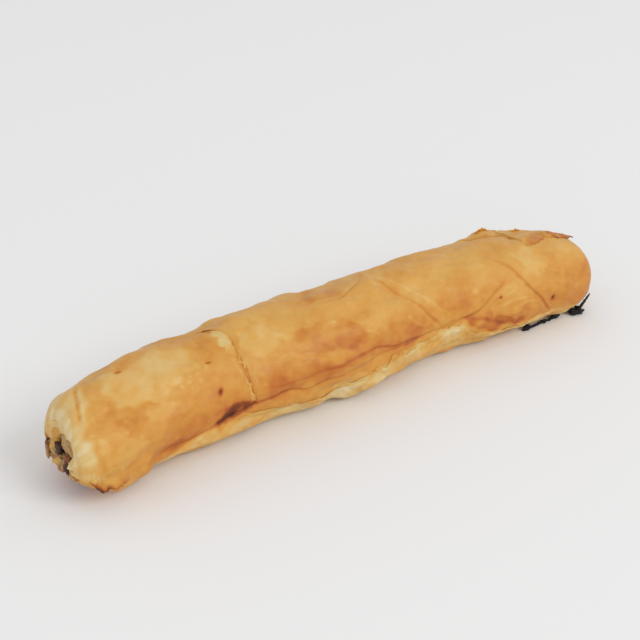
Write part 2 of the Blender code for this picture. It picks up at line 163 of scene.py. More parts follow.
def read(route, v):
    """The value of a table of pairs at a place."""
    route = np.array(route, float)
    return np.interp(v, route[:, 0], route[:, 1])


def cloud(x, turn, size, seed, long=1.0):
    """Soft random field over the skin with features of a size, drawn out along the roll."""
    rng = np.random.default_rng(seed)
    a = np.radians(turn)
    radius, waves = 21, 14
    place = [np.asarray(x, float) / long, radius * np.cos(a), radius * np.sin(a)]
    total = 0.0
    for _ in range(waves):
        way = rng.normal(size=3)
        way *= 2 * math.pi / size * rng.uniform(0.6, 1.3) / np.linalg.norm(way)
        phase = way[0] * place[0] + way[1] * place[1] + way[2] * place[2] + rng.uniform(0, 6.28)
        total = total + np.sin(phase)
    return total / math.sqrt(waves / 2)


def nearest(x, turn, route):
    """Distance to a route in millimetres, which side of it (+ on its left), and share along it."""
    points = np.array(route, float) * [1.0, PER_DEGREE]
    around = (np.asarray(turn, float) + 90) % 360 - 90
    px, py = np.broadcast_arrays(np.asarray(x, float), around * PER_DEGREE)
    best = np.full(px.shape, 1e9)
    side = np.zeros(px.shape)
    share = np.zeros(px.shape)
    lengths = np.hypot(*np.diff(points, axis=0).T)
    run = np.concatenate([[0], np.cumsum(lengths)])
    for i, length in enumerate(lengths):
        (ax, ay), (bx, by) = points[i], points[i + 1]
        dx, dy = (bx - ax) / length, (by - ay) / length
        t = np.clip((px - ax) * dx + (py - ay) * dy, 0, length)
        gap = np.hypot(px - ax - t * dx, py - ay - t * dy)
        closer = gap < best
        best = np.where(closer, gap, best)
        side = np.where(closer, np.sign(dy * (px - ax) - dx * (py - ay)), side)
        share = np.where(closer, (run[i] + t) / run[-1], share)
    return best, side, share


def fold(x, turn, route, height, reach):
    """A fold or lap: the skin steps up to the left of a route and sinks back over a reach."""
    gap, side, share = nearest(x, turn, route)
    s = gap * side
    width = 0.7
    ends = ease(share * 6) * ease((1 - share) * 6)
    up = ease((s + width / 2) / width) * np.exp(-np.maximum(s, 0) / reach)
    return height * ends * (up - 0.25 * hump(s, -width * 0.7, width * 0.7))


def stroke(x, turn, route, width):
    """One along a route, falling to nothing over a width."""
    gap, _, share = nearest(x, turn, route)
    return np.exp(-(gap / width) ** 2) * ease(share * 8 + 0.3) * ease((1 - share) * 8 + 0.3)


def mark(x, turn, at, size, lean=0.0):
    """One inside an oval place on the skin, falling to nothing at its edge."""
    dx = x - at[0]
    ds = ((turn - at[1] + 180) % 360 - 180) * PER_DEGREE
    c, s = math.cos(math.radians(lean)), math.sin(math.radians(lean))
    return np.exp(-(((dx * c + ds * s) / size[0]) ** 2 + ((ds * c - dx * s) / size[1]) ** 2) ** 1.5)


def patch(x, turn, outline, soft):
    """One inside an outline on the skin, fading over its edge."""
    around = (turn + 90) % 360 - 90
    gap, _, _ = nearest(x, turn, tuple(outline) + (outline[0],))
    inside = np.zeros(np.shape(gap), bool)
    for (ax, at), (bx, bt) in zip(outline, outline[1:] + (outline[0],)):
        if at != bt:
            crosses = ((at > around) != (bt > around)) & (x < (bx - ax) * (around - at) / (bt - at) + ax)
            inside ^= crosses
    return ease(0.5 + np.where(inside, gap, -gap) / soft)


# At the near end, by turn: where the outer sheet stops, and where the pale lip ends.
RIM_EDGE = (
    (-60, -112), (-24, -112.5), (-8, -113.5), (3, -115), (18, -117), (30, -118.7), (39.5, -119.8),
    (51, -120.4), (62, -119.7), (72, -119.2), (80.5, -118.6), (88.5, -118), (100, -117.5), (113, -117),
    (135, -121), (160, -124),
)
OPEN_EDGE = (
    (-60, -126), (-40, -124.5), (-29, -123.7), (-20, -123), (-12, -122.4), (-5, -121.9), (2, -121.9),
    (12, -122.1), (23, -122.6), (31, -123.5), (40, -124.6), (60, -126),
)

# Soft ridges of the thin dough: a route, how high, how wide.
RIDGES = (
    (((-97, 55), (-90.1, 53), (-82.6, 50), (-77, 45)), 0.3, 1.3),
    (((-93, 78), (-83.3, 72), (-75.6, 70.5)), 0.3, 1.5), (((-103, 85), (-96, 84), (-88, 80)), 0.25, 1.4),
    (((-112, 15), (-108, 30), (-103, 40)), 0.25, 1.5), (((-13, 31), (-10, 36), (-7, 39)), 0.28, 0.8),
    (((-21.5, 25), (-18, 31), (-15.5, 36)), 0.22, 0.8),
    (((-57, 48), (-55.7, 59.5), (-53.9, 69.5)), 0.2, 0.5),
    (((-52.9, 27), (-52.9, 46), (-52.4, 55), (-51.7, 72)), -0.25, 0.5),
    (((-55.2, 38), (-54.7, 51), (-52.9, 65)), 0.18, 0.4),
    (((-49, 84), (-41.7, 83), (-35.5, 84), (-29, 89)), 0.2, 0.9),
    (((2, 24), (8, 30), (15, 41), (20, 52)), 0.22, 1.6),
    (((14, 2), (20, 16), (23, 27), (27, 38), (33, 50), (38, 64), (44, 84)), 0.28, 0.8),
    (((58, 20), (67, 25), (75, 28)), 0.2, 2.0), (((73, 62), (79, 66), (84, 70)), 0.22, 0.8),
    (((-115, -16), (-116.7, -3), (-118.2, 6.5), (-119.2, 15), (-120.4, 27)), -0.45, 0.8),
    (((-113.6, -12), (-115.4, -3), (-116.9, 7), (-118, 17), (-119.2, 28), (-120, 38)), 0.45, 0.9),
    (((-117.4, -10), (-119.6, 5), (-120.9, 18)), 0.25, 0.7),
    (((100, 20), (104, 40), (105, 60), (103, 78)), 0.2, 2.0), (((86, 60), (93, 64), (99, 72)), -0.15, 1.0),
)
# Thin raised streaks. The colour makes them paler along their tops, partly pale dough and partly painted
# highlight.
STREAKS = (
    ((69, 80), (76, 73), (82, 69)), ((72, 86), (80, 81), (87, 82)), ((78, 90), (86, 87), (92, 90)),
    ((21, 2), (26, 14), (30, 27), (34, 40), (39, 55), (43, 69)), ((-55.2, 38), (-54.7, 51), (-52.9, 65)),
    ((25, 62), (29, 71), (33, 78)), ((2, 56), (6, 60), (8, 66)),
)

# Browned lines where the edge of a sheet is thin, a line of painted shade beside the lap's edge,
# and pale ones: a route, how much, how wide.
LINES = (
    (LOW_SEAM, 0.09, 0.7), (FOLD_FAR, 0.1, 0.7), (FOLD_RIGHT, 0.1, 0.7), (FOLD_DOWN, 0.1, 0.8),
    (FOLD_LEFT[:5], 0.12, 0.4), ([(a - 0.8, b - 2.0) for a, b in FOLD_LEFT[:5]], -0.12, 0.5),
    # Painted shade: a darker line on the lower sheet just beside the lap's edge, where that edge shades it.
    ([(a - 0.6, b) for a, b in LAP[3:-1]], 0.07, 0.5),
    (((-52.9, 27), (-52.9, 46), (-52.4, 55), (-51.9, 64), (-51.7, 72)), 0.1, 0.45),
    (((-115, -14), (-116.7, -3), (-118.2, 6.5), (-119.2, 15), (-120.2, 25.5)), 0.26, 0.75),
    (((-113.9, -10), (-115.6, -1), (-117.1, 8), (-118.3, 18), (-119.4, 30)), -0.1, 0.7),
)

# Places that browned less or more than the rest: an outline, how much, and how soft its edge is.
PATCHES = (
    (((-106, -8), (-107, 14), (-106, 27), (-103.5, 38), (-96, 46), (-86, 51), (-80, 44), (-77, 34),
      (-71, 32), (-69, 17), (-73, -2), (-84, -6), (-95, 2)), -0.12, 3.5),
    (((-101, 22), (-97, 38), (-89, 40), (-80, 28), (-76, 12), (-84, 6), (-94, 12)), -0.04, 1.5),
    (((-95, 52), (-97, 63), (-91, 73), (-82, 62), (-84, 55)), -0.08, 1.4),
    (((-115, 10), (-110, 26), (-104, 39), (-97, 47), (-90, 52), (-88, 58), (-94, 62), (-101, 62),
      (-108, 52), (-115, 36)), 0.07, 2.2),
    (((-118.7, 52.5), (-116.2, 54), (-114.5, 65), (-113.7, 76.5), (-116, 86), (-118.5, 79.5)), -0.1,
     1.2),
    (((-69.4, 100), (-66.4, 104.5), (-63.7, 101.5), (-60.4, 99), (-54.9, 95.5), (-48.7, 94),
      (-49.2, 90.5), (-51.9, 89), (-56.4, 88.5), (-60.4, 89), (-64.9, 91.5), (-68.4, 96)), 0.26, 1.8),
    (((-14.6, 106), (-10.3, 102), (-5.4, 97.5), (1.1, 100), (0.4, 110.5), (-3.9, 118.5), (-8.6, 123.5),
      (-12.3, 121.5)), -0.12, 1.2),
    (((20.1, 93), (26, 91), (33.8, 90.5), (31.8, 96), (25.3, 99.5)), -0.08, 1.0),
    (((55.5, 84.5), (62, 86), (68, 88.5), (76, 97), (84.6, 102.5), (87, 110), (73.4, 109), (63, 105),
      (57, 96)), 0.18, 1.8),
    (((104, 30), (127, 30), (127, 96), (104, 88)), -0.05, 4.0),
    (((-118, 56), (-110, 58), (-103, 72), (-99, 86), (-106, 96), (-116, 90)), -0.08, 1.6),
    (((-48, 14), (-38, 12), (-33, 30), (-37, 50), (-45, 48), (-49, 30)), -0.09, 1.8),
    (((-34, 38), (-22, 30), (-6, 36), (2, 50), (4, 66), (-8, 72), (-24, 64), (-34, 54)), 0.12, 2.5),
    (((-46, 60), (-30, 62), (-16, 76), (-8, 84), (-20, 92), (-44, 90)), 0.05, 2.0),
    (((-16, -24), (-4, -20), (2, 0), (1, 11), (-6, 12), (-14, 8)), 0.06, 1.2),
    (((14, 44), (30, 50), (38, 72), (34, 80), (22, 78), (12, 66)), 0.04, 2.5),
    (((36, 36), (52, 34), (62, 46), (64, 62), (54, 72), (44, 66)), 0.065, 3.0),
    (((72, 62), (80, 58), (88, 78), (92, 92), (76, 92), (66, 84), (68, 72)), -0.06, 1.5),
    (((84, 20), (96, 24), (100, 40), (94, 58), (86, 44)), -0.07, 3.0),
)

# Smaller soft spots, browned or pale: a place, its half sizes and how much.
SPOTS = (
    ((-85, 105), (4, 2.0), 0.11), ((-63, 12), (5, 6), 0.07), ((-42, 19), (2.5, 3.5), 0.1),
    ((-67, 55), (6, 5), 0.05), ((-64, 68), (4, 4), 0.05), ((-62, 86), (9, 3), 0.03), ((-9, 2), (9, 4), 0.04),
    ((5, 20), (7, 5), -0.05), ((33, 38), (12, 8), -0.04), ((48, 62), (9, 6), 0.05),
    ((78, 70), (7, 7), -0.05), ((91, 48), (8, 9), -0.06), ((114, 60), (6, 10), 0.02),
    ((66, -10), (12, 6), -0.04), ((110, 20), (6, 6), -0.04), ((-99, 0), (6, 4), 0.08),
    ((-110, -20), (7, 4), 0.04), ((60, 90), (4, 1.8), -0.12), ((47, 97), (8, 2.5), -0.1),
    ((-30, 100), (10, 3), 0.05),
)

# Blisters where steam lifted the dough: place, size, height. Holes where one burst: place, half
# sizes, lean.
BLISTERS = (
    ((-101, 73.5), 1.1, 0.3), ((-106.5, 62), 0.8, 0.2), ((-78.6, 38.5), 0.9, 0.25), ((-75.5, 46), 1.0, 0.3),
    ((-74.6, 40.5), 0.8, 0.22), ((-71.1, 41), 0.9, 0.25), ((-75.1, 52.5), 0.8, 0.25),
    ((-70.6, 49), 0.9, 0.25), ((-66.6, 37.5), 0.8, 0.2), ((-79.5, 47), 0.7, 0.2), ((25.3, 60.5), 1.1, 0.35),
    ((60.9, 58), 1.5, 0.3), ((98.5, 52), 1.0, 0.25), ((-20, 27), 0.9, 0.2), ((-10, 36), 1.0, 0.2),
    ((-119.2, 49), 0.8, 0.3),
)
HOLES = (((-64.3, 67.5), (1.0, 1.5), 30), ((-64.9, 34.5), (1.2, 0.4), 10), ((72.7, 74), (0.7, 0.7), 0),
         ((100.6, 92.0), (0.6, 1.0), 20), ((-98.3, 0.0), (1.6, 0.6), 10))


def relief(x, turn):
    """How far the skin stands out at a place: waves of the roll, laps, creases and wrinkles."""
    around = (turn + 120) % 360 - 120
    out = 0.35 * np.sin(x / 13 + 0.8 * np.sin(np.radians(turn) * 2)) * np.cos(np.radians(turn - 40))
    out = out + 0.3 * np.sin(x / 21 + 2.0) * np.sin(np.radians(turn) * 3 + x / 30)

    # The sheet of the far half laps over the near one.
    past = x - lap_line(around)
    lapped = ease((around + 26) / 24) * ease((98 - around) / 6)
    out += lapped * LAP_STEP * ease((past + 0.5) / 0.9) * np.exp(-np.maximum(past, 0) / 35)
    out -= lapped * 0.2 * hump(past, -1.0, 0.9)

    # The long front seam, where the outer sheet ends above the paler one that it lies on.
    down = (around - read(SEAM, x)) * PER_DEGREE
    depth = read(SEAM_DEPTH, x)
    out -= depth * 0.9 * np.exp(-(np.abs(down) / 0.9) ** 1.6)
    out += 0.55 * depth * hump(down, -3.6, 2.6)
    out += 0.35 * depth * hump(down, 3.2, 2.2)
    low = ease((around - 92) / 14) * ease((175 - around) / 35)
    out -= 1.9 * low * ease((x + 98) / 3) * np.exp(-np.maximum(x + 95, 0) / 20)
    out -= 1.2 * low * hump(x, -13, 7)
    out += 1.0 * hump(x, 6, 10) * hump(around, 122, 16)

    # The top line dips before the lap and under the lifted sheet of the far end.
    top = hump(around, -30, 38)
    out += top * (sum(height * hump(x, at, width) for at, width, height in TOP_DIPS)
                  - 2.2 * ease((x - 86) / 14))

    # Slanting folds of the outer sheet, in the middle and near the far end.
    out += fold(x, turn, FOLD_LEFT[::-1], 0.45, 10) + fold(x, turn, FOLD_RIGHT, 0.5, 14)
    out += fold(x, turn, FOLD_FAR, 0.75, 18) + fold(x, turn, FOLD_DOWN[::-1], 0.45, 9)
    out += 0.35 * stroke(x, turn, FOLD_BAR, 1.1) + fold(x, turn, SECOND_SEAM[:3:-1], 0.26, 6)
    out += fold(x, turn, LOW_SEAM[::-1], 0.45, 6)
    for route, height, width in RIDGES:
        out += height * stroke(x, turn, route, width)
    for route in STREAKS:
        out += 0.18 * stroke(x, turn, route, 0.5)

    # The outer sheet stops short of the near mouth, over the pale lip of the tucked ones.
    past = x - read(RIM_EDGE, around)
    showing = ease((around - 20) / 30) * ease((170 - around) / 40)
    out += 0.25 * showing * ease((past + 0.4) / 0.8) * np.exp(-np.maximum(past, 0) / 3)
    out -= 0.5 * ease((read(OPEN_EDGE, around) - x) / 0.8)

    # The seam down the back is like the front one, without the browned crease.
    down = ((turn % 360) - BACK_SEAM - 6 * np.sin(x / 37)) * PER_DEGREE
    out -= 0.9 * np.exp(-(down / 1.6) ** 2)
    out += 0.4 * hump(down, 4.5, 3.0)

    # Thin dough dries in soft facets with fine wrinkles, blisters and pits.
    soft = ease((128 - np.abs(x)) / 14)
    out += soft * (0.14 * cloud(x, turn, 17, 3, 1.7) + 0.05 * cloud(x, turn, 6, 4, 1.4))
    for size, seed, long, much in FACETS:
        out += soft * much * (np.abs(cloud(x, turn, size, seed, long)) - 0.8)
    wrinkled = ease(0.5 + 0.6 * cloud(x, turn, 30, 5))
    out += soft * wrinkled * 0.14 * np.exp(-(cloud(x, turn, 19, 6, 2.2) / 0.1) ** 2)
    out -= soft * wrinkled * 0.12 * np.exp(-(cloud(x, turn, 15, 7, 1.5) / 0.09) ** 2)
    out += (soft * 0.09 * ease(0.4 + 0.7 * cloud(x, turn, 26, 77))
            * np.exp(-(cloud(x, turn, 12, 76, 2.2) / 0.2) ** 2))
    for at, size, height in BLISTERS:
        out += height * mark(x, turn, at, (size, size * 0.9))
    for at, size, lean in HOLES:
        out -= 0.5 * mark(x, turn, at, size, lean)
    return out


def skin(x, turn, lift=0.0, far=FAR_END):
    """A point of the outer skin, or one lifted off it, in millimetres."""
    x, turn = np.broadcast_arrays(np.asarray(x, float), np.asarray(turn, float))
    a = np.radians(turn)
    c, s = np.cos(a), np.sin(a)
    half, height = along(x, 1), 2 * along(x, 1) * TALL
    top = c >= 0
    power = 2 / np.where(top, FULL_TOP, FULL_LOW)
    up = np.where(top, height * (1 - LOW) * kept(x, NEAR_END, "up") * kept(x, far, "up"),
                  height * LOW * kept(x, NEAR_END, "down") * kept(x, far, "down"))
    wide = np.where(s >= 0, half * kept(x, NEAR_END, "front") * kept(x, far, "front"),
                    half * kept(x, NEAR_END, "back") * kept(x, far, "back"))
    y = -wide * np.sign(s) * np.abs(s) ** power
    z = up * np.sign(c) * np.abs(c) ** power
    grow = 1 + (relief(x, turn) + lift) / np.maximum(np.hypot(y, z), 1e-6)
    pressed = middle(x) + z * grow - SINK
    turned_up = np.clip(pressed + FOOT_SPREAD, 0, 2 * FOOT_SPREAD) ** 2 / (4 * FOOT_SPREAD)
    z = np.where(pressed > FOOT_SPREAD, pressed, turned_up)
    return np.stack([x, along(x, 2) + y * grow, np.where(z < 0.02, 0.0, z)], -1)


def baked(x, turn):
    """How far the skin is baked: 0 raw pale dough, 0.4 golden, 0.7 orange brown, 1 nearly black."""
    around = (turn + 90) % 360 - 90
    torn_x = x + 1.0 * cloud(x, turn, 9, 24) + 0.4 * cloud(x, turn, 3.2, 25)
    torn_turn = turn + (1.0 * cloud(x, turn, 9, 26) + 0.4 * cloud(x, turn, 3.2, 27)) / PER_DEGREE
    out = (0.44 + 0.02 * cloud(x, turn, 34, 11, 1.5) + 0.014 * cloud(x, turn, 11, 12, 1.3)
           + 0.01 * cloud(x, turn, 4, 13))
    out += (0.024 * np.tanh(3 * cloud(x, turn, 19, 28, 1.6))
            + 0.016 * np.tanh(3 * cloud(x, turn, 8, 29, 1.4)))
    out += 0.1 * ease((around - 25) / 55) - 0.03 * ease((-around - 20) / 40)
    band = ease((around - read(BAND_TOP, x)) / 5) * ease((x + 99) / 5)
    seam = (around - read(SEAM, x)) * PER_DEGREE
    out += read(SEAM_GLOW, x) * hump(seam, -1.5, 5.5)
    out = (out * (1 - band) + band * (0.22 + 0.06 * cloud(x, turn, 9, 14, 2.0)
                                      + 0.035 * cloud(x, turn, 3, 15) + 0.1 * ease((-30 - x) / 20)
                                      + 0.15 * ease((x - 4) / 12)))
    under = ease((around - 148) / 14) * ease((222 - around) / 14)
    out += under * (0.22 + 0.08 * cloud(x, turn, 14, 16))

    edge = read(RIM_EDGE, around) - x - 0.4 * cloud(x, turn, 9, 24)
    lip = (ease((edge + 1.6 + 0.4 * cloud(x, turn, 6, 22)) / 3.4)
           * ease((around + 110) / 30) * ease((175 - around) / 20))
    pink = ease((read(OPEN_EDGE, around) - x + 0.2 * cloud(x, turn, 4, 23)) / 0.7)
    cream = (0.13 + 0.13 * ease((50 - around) / 30) + 0.05 * np.tanh(2 * cloud(x, turn, 5, 18))
             - 0.15 * pink)
    cream = cream + 0.19 * ease((around - 68) / 25) + 0.14 * ease((around - 98) / 20)
    out = out * (1 - lip) + lip * cream

    # The lines of the seams and creases.
    ragged = 0.3 * cloud(x, turn * 0 + 90, 11, 17)
    out += read(SEAM_DARK, x) * np.exp(-((seam + ragged) / read(SEAM_LINE, x)) ** 2)
    lined = read(((-50, 0.25), (-28, 0.45), (-12, 1.0), (35, 1.0)), x)
    out += lined * (0.14 * stroke(x, turn, SECOND_SEAM, 0.5) + 0.04 * stroke(x, turn, SECOND_SEAM, 2.0))
    for route, much, width in LINES:
        out += much * stroke(x, turn, route, width)
    # Painted highlight, with some pale dough: the raised streaks are made paler along their ridges.
    for route in STREAKS:
        out -= 0.08 * stroke(x, turn, route, 0.5)

    # Patches that stayed pale or browned early.
    uneven = np.clip(1 + 0.15 * cloud(x, turn, 6, 19), 0.4, 1.6)
    for outline, much, soft in PATCHES:
        share = min(1.0, soft / 2.5)
        out += (much * uneven * patch(x + share * (torn_x - x), turn + share * (torn_turn - turn),
                                      outline, soft))
    for at, size, much in SPOTS:
        edge = 1 + 0.25 * cloud(x, turn, 6, int(at[0] + 200))
        out += much * mark(torn_x, torn_turn, at, size) * np.clip(edge, 0.3, 1.6)
    for at, size, height in BLISTERS:
        out -= 0.13 * mark(x, turn, at, (size * 0.9, size * 0.8))
    for at, size, lean in HOLES:
        out += 0.34 * mark(x, turn, at, size, lean) + 0.05 * mark(x, turn, at, (2.2, 2.2))
    return np.clip(out, 0.02, 1.0)


def oiled(x, turn):
    """Where oil shows through and the skin is smoother."""
    out = 0.25 + 0.3 * cloud(x, turn, 22, 21) + 0.8 * mark(x, turn, (-88, 24), (20, 12))
    out += 0.5 * mark(x, turn, (-104, 90), (12, 8)) + 0.5 * mark(x, turn, (-40, 30), (6, 8))
    return np.clip(out, 0, 1)


def tone(red, green, blue):
    """Colour as seen on a screen, made linear for a shader."""
    parts = (red, green, blue)
    return tuple(((v / 255 + 0.055) / 1.055) ** 2.4 if v > 10 else v / 3300 for v in parts) + (1.0,)


def start_material(name):
    """A new material, its shader, and ways to add a node and a ramp of colours to it."""
    material = bpy.data.materials.new(name)
    material.use_nodes = True
    nodes, links = material.node_tree.nodes, material.node_tree.links

    def node(kind, **values):
        made = nodes.new("ShaderNode" + kind)
        for key, value in values.items():
            if isinstance(value, bpy.types.NodeSocket):
                links.new(value, made.inputs[key])
            elif key in made.inputs:
                made.inputs[key].default_value = value
            else:
                setattr(made, key, value)
        return made

    def ramp(level, stops):
        made = node("ValToRGB", Fac=level)
        elements = made.color_ramp.elements
        while len(elements) < len(stops):
            elements.new(0.5)
        for element, (position, colour) in zip(elements, stops):
            element.position = position
            element.color = tone(*colour)
        return made.outputs["Color"]

    return material, nodes["Principled BSDF"], node, ramp, links.new


# Baked dough: its colour follows how far each place is baked, broken up by fine mottling.
DOUGH_COLOURS = (
    (0.0, (222, 204, 162)), (0.18, (214, 183, 120)), (0.38, (211, 162, 84)), (0.54, (203, 142, 60)),
    (0.69, (185, 107, 40)), (0.83, (148, 72, 22)), (1.0, (86, 36, 10)),
)
dough, shader, node, ramp, link = start_material("baked_dough")


def noise(scale, detail, place, rough=0.55):
    """Noise in the material that is being made."""
    return node("TexNoise", Scale=scale, Detail=detail, Roughness=rough, Vector=place).outputs["Fac"]


def maths(operation, *inputs):
    """Arithmetic on fields in the material that is being made."""
    made = node("Math", operation=operation)
    for socket, value in zip(made.inputs, inputs):
        if isinstance(value, (int, float)):
            socket.default_value = value
        else:
            link(value, socket)
    return made.outputs[0]


def swing(field, much):
    """A field of zero to one, turned into one that swings about zero."""
    return maths("MULTIPLY", maths("SUBTRACT", field, 0.5), much)


place = node("TexCoord").outputs["Object"]
level = node("Attribute", attribute_name="bake").outputs["Fac"]
oil = node("Attribute", attribute_name="oil").outputs["Fac"]
coarse, medium, fine = noise(140, 3, place), noise(420, 4, place), noise(1500, 3, place)
warp = node("TexNoise", Scale=260.0, Detail=3.0, Vector=place)
shifted = node("VectorMath", operation="SCALE", Scale=0.004)
link(warp.outputs["Color"], shifted.inputs[0])
moved = node("VectorMath", operation="ADD")
link(place, moved.inputs[0])
link(shifted.outputs[0], moved.inputs[1])
films = node("TexVoronoi", Scale=170.0, Vector=moved.outputs[0])
for field, much in ((films.outputs["Color"], 0.035), (coarse, 0.1), (medium, 0.11), (fine, 0.06)):
    level = maths("ADD", level, swing(field, much))
link(ramp(level, DOUGH_COLOURS), shader.inputs["Base Color"])
rough = maths("SUBTRACT", 0.5, maths("MULTIPLY", oil, 0.12))
link(maths("ADD", rough, swing(medium, 0.18)), shader.inputs["Roughness"])

# Fine wrinkles run along the roll, over a grain of tiny bubbles.
drawn = node("Mapping", Vector=place)
drawn.inputs["Scale"].default_value = (0.45, 1.0, 1.0)
wrinkle = noise(520, 5, drawn.outputs["Vector"], 0.6)
bubbles = node("TexVoronoi", feature="SMOOTH_F1", Scale=650.0, Smoothness=0.6, Vector=place)
dimples = maths("MULTIPLY", bubbles.outputs["Distance"], 0.35)
height = maths("ADD", maths("MULTIPLY", wrinkle, 0.8), dimples)
height = maths("ADD", height, maths("MULTIPLY", fine, 0.2))
bump = node("Bump", Strength=0.35, Distance=0.0005, Height=height)
link(bump.outputs["Normal"], shader.inputs["Normal"])
shader.inputs["Subsurface Weight"].default_value = 0.12
shader.inputs["Subsurface Radius"].default_value = (1.0, 0.55, 0.25)
shader.inputs["Subsurface Scale"].default_value = 0.002
shader.inputs["Specular IOR Level"].default_value = 0.28


def build(name, points, faces, bake, oil, material):
    """A mesh object from points in millimetres, with its baking on each point (on the dough, painted shade
    too) and its oil.
    """
    mesh = bpy.data.meshes.new(name)
    mesh.from_pydata(((np.asarray(points, float).reshape(-1, 3) - MIDDLE) * MM).tolist(), [], faces)
    for key, values in (("bake", bake), ("oil", oil)):
        layer = mesh.attributes.new(key, "FLOAT", "POINT")
        layer.data.foreach_set("value", np.asarray(values, np.float32).ravel())
    bm = bmesh.new()
    bm.from_mesh(mesh)
    bmesh.ops.recalc_face_normals(bm, faces=bm.faces)
    if bm.calc_volume(signed=True) < 0:
        bmesh.ops.reverse_faces(bm, faces=bm.faces)
    bm.to_mesh(mesh)
    bm.free()
    mesh.polygons.foreach_set("use_smooth", [True] * len(mesh.polygons))
    mesh.materials.append(material)
    item = bpy.data.objects.new(name, mesh)
    bpy.context.scene.collection.objects.link(item)
    return item


def band_faces(rows, around, closed):
    """Faces between rings; a closed set joins its last ring to the first."""
    faces = []
    for i in range(rows if closed else rows - 1):
        j = (i + 1) % rows
        for k in range(around):
            m = (k + 1) % around
            faces.append((i * around + k, i * around + m, j * around + m, j * around + k))
    return faces


def rim_wave(turn, size):
    """The uneven edge of an end, by turn."""
    a = np.radians(turn)
    return size * (np.sin(3 * a + 0.5) + 0.6 * np.sin(5 * a + 2.1))


def mouth_ring(x, turn, radius, side, up):
    """A ring round the hollow, uneven like the rims."""
    a = np.radians(turn)
    r = radius * (1 + rim_wave(turn, 0.03))
    y = along(x, 2) + side - r * np.sin(a)
    z = middle(x) - SINK + up + r * np.cos(a)
    return np.stack([np.full_like(turn, x), y, z], -1)


def far_rows(rim, turn):
    """Rings from the far rim over its lip and down the pinched pocket, pleated as tucked dough is."""
    profile = np.array(FAR_FACE)
    last = len(profile) - 1
    centre = np.array([0.0, along(rim[:, 0].mean(), 2), middle(rim[:, 0].mean()) - SINK])
    rows = []
    for step in np.linspace(0, last, N_FAR + 1)[1:-1]:
        x, share, to_mouth = (np.interp(step, range(last + 1), profile[:, k]) for k in range(3))
        depth = step / last
        pleat = 0.05 * math.sin(math.pi * depth) * cloud(turn * 0 + depth * 9, turn, 9, 31)
        row = centre + (rim - centre) * (share * (1 + pleat))[:, None]
        row[:, 0] = x + rim_wave(turn, 0.18)
        ring = mouth_ring(x, turn, FAR_MOUTH["radius"] * 1.15, FAR_MOUTH["side"], FAR_MOUTH["up"])
        ring[:, 0] = row[:, 0]
        rows.append(row * (1 - to_mouth) + ring * to_mouth)
    return rows


def bore_ring(x, turn, spare=0.0):
    """A ring of the hollow for the beef: wide inside, narrow at both mouths."""
    near, far = ease((x - NEAR_MOUTH["x"]) / 24), ease((FAR_MOUTH["x"] - x) / 26)
    radius = (NEAR_MOUTH["radius"] + (BORE_RADIUS - NEAR_MOUTH["radius"]) * near
              - (BORE_RADIUS - FAR_MOUTH["radius"]) * (1 - far)) - spare
    return mouth_ring(x, turn, radius, NEAR_MOUTH["side"] * (1 - near) + FAR_MOUTH["side"] * (1 - far),
                      NEAR_MOUTH["up"] * (1 - near) + FAR_MOUTH["up"] * (1 - far))


# The near face: above, a thin lip hangs over an open pocket; below, tucked dough fills the
# face to near its middle. By turn: the share of the rim that the lip reaches in to, how dark
# it is (baked at the bottom, painted shade on the lower back side), and how much it bulges.
LIP_REACH = (
    (0, 0.81), (25, 0.86), (45, 0.92), (60, 0.82), (74, 0.56), (90, 0.38), (130, 0.3), (200, 0.32),
    (235, 0.42), (262, 0.6), (285, 0.74), (320, 0.77), (360, 0.81),
)
# Painted shade: the higher values on the lower back side, turns near 200 to 320, darken the lip where it
# lies in shade. At the bottom the brown is baked.
LIP_BAKE_AND_SHADE = (
    (0, 0.13), (30, 0.12), (70, 0.13), (95, 0.18), (112, 0.3), (130, 0.44), (170, 0.44), (240, 0.38),
    (285, 0.27), (320, 0.22), (360, 0.13),
)
LIP_BULGE = ((0, 1), (200, 1), (225, 0.3), (285, 0.3), (310, 1), (360, 1))
N_LIP, N_POCKET, N_FAR = 14, 14, 14


def near_rows(rim, turn):
    """Rings from the near rim over the hanging lip, then from its edge down the open pocket."""
    centre = np.array([0.0, along(-125, 2), middle(-125) - SINK])
    reach = np.clip(read(LIP_REACH, turn) + 0.035 * cloud(turn * 0 - 125, turn, 7, 39), 0.2, 0.96)
    broad = ease((0.9 - reach) / 0.5)
    rows = []
    for t in np.linspace(0, 1, N_LIP + 1)[1:]:
        share = 1 - (1 - reach) * t
        row = centre + (rim - centre) * share[:, None]
        folds = (broad * (0.55 * np.abs(cloud(turn * 0 + 30 * t, turn, 11, 35))
                          + 0.16 * cloud(turn * 0 + 30 * t, turn, 4, 36)))
        bulge = ((0.25 + 0.75 * broad) * math.sin(math.pi * t ** 0.8) * ease(t * 4)
                 + folds * math.sin(math.pi * t))
        row[:, 0] = rim[:, 0] - bulge * read(LIP_BULGE, turn)
        rows.append(row)
    lip = rows[-1].copy()
    for t in np.linspace(0, 1, N_POCKET + 1)[1:]:
        deep = -125.0 + 1.1 * math.sin(math.pi / 2 * min(1.0, 1.6 * t)) + 3.3 * t ** 9
        ring = mouth_ring(deep, turn, NEAR_MOUTH["radius"] * 1.15, NEAR_MOUTH["side"], NEAR_MOUTH["up"])
        row = lip * (1 - t ** 1.6) + ring * t ** 1.6
        row[:, 0] = (lip[:, 0] * (1 - ease(t * 1.6))
                     + (deep + 0.25 * cloud(turn * 0 + 9 * t, turn, 7, 37)) * ease(t * 1.6))
        rows.append(row)
    return rows


